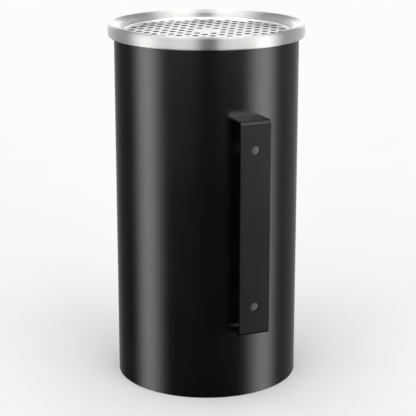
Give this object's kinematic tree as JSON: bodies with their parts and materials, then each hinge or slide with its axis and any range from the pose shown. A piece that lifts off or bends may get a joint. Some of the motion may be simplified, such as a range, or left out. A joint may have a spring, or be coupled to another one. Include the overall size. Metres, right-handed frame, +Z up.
{
  "type": "wall ashtray bin",
  "caption": "Round steel ashtray bin with a lift-off stainless lid ring, perforated grille, galvanised inner bucket with a bail, and a folded wall bracket.",
  "frame": {"origin": "on the drum's axis, at the underside of the base that stands on the floor", "axes": "+Z up along the drum's axis, +Y towards the wall and its bracket, +X to the right of a person who faces the wall"},
  "size_m": [0.277, 0.3039, 0.512],
  "materials": {
    "powder_coat": "satin black powder coat, fine orange peel",
    "lid_steel": "stainless steel, brushed around the axis",
    "grille_steel": "stainless steel, brushed, punched holes",
    "galvanised": "hot-dip galvanised steel with faint spangle",
    "bare_wire": "drawn steel wire",
    "bail_wire": "bright zinc-plated wire",
    "black_plastic": "moulded black plastic",
    "seal_rubber": "sponge rubber"
  },
  "bodies": {
    "drum": {"drum_shell": "powder_coat", "drum_rim_wire": "bare_wire", "base_plate": "powder_coat", "wall_bracket": "powder_coat", "bracket_weld_top": "powder_coat", "bracket_weld_bottom": "powder_coat", "backing_plate": "powder_coat", "access_plugs": "black_plastic"},
    "lid": {"lid_ring": "lid_steel", "lid_skirt": "powder_coat", "lid_seal": "seal_rubber"},
    "grille": {"grille": "grille_steel"},
    "bucket": {"bucket_wall": "galvanised", "bucket_rim_wire": "bare_wire", "bucket_base": "galvanised", "bail_ear_left": "galvanised", "bail_ear_right": "galvanised", "ear_rivets": "galvanised"},
    "bail": {"bail_wire": "bail_wire", "bail_grip": "black_plastic"}
  },
  "joints": [
    {"name": "lid_lift", "type": "slide", "parent": "drum", "child": "lid", "axis": [0, 0, 1], "range_m": [0, 0.6]},
    {"name": "grille_lift", "type": "slide", "parent": "lid", "child": "grille", "axis": [0, 0, 1], "range_m": [0, 0.1]},
    {"name": "bucket_lift", "type": "slide", "parent": "drum", "child": "bucket", "axis": [0, 0, 1], "range_m": [0, 0.51]},
    {"name": "bail_swing", "type": "hinge", "parent": "bucket", "child": "bail", "pos_m": [0, 0, 0.3705], "axis": [-1, 0, 0], "range_deg": [0, 180]}
  ],
  "couplings": [
    {"joint": "bucket_lift", "follows": "lid_lift", "ratio": 0.85}
  ]
}
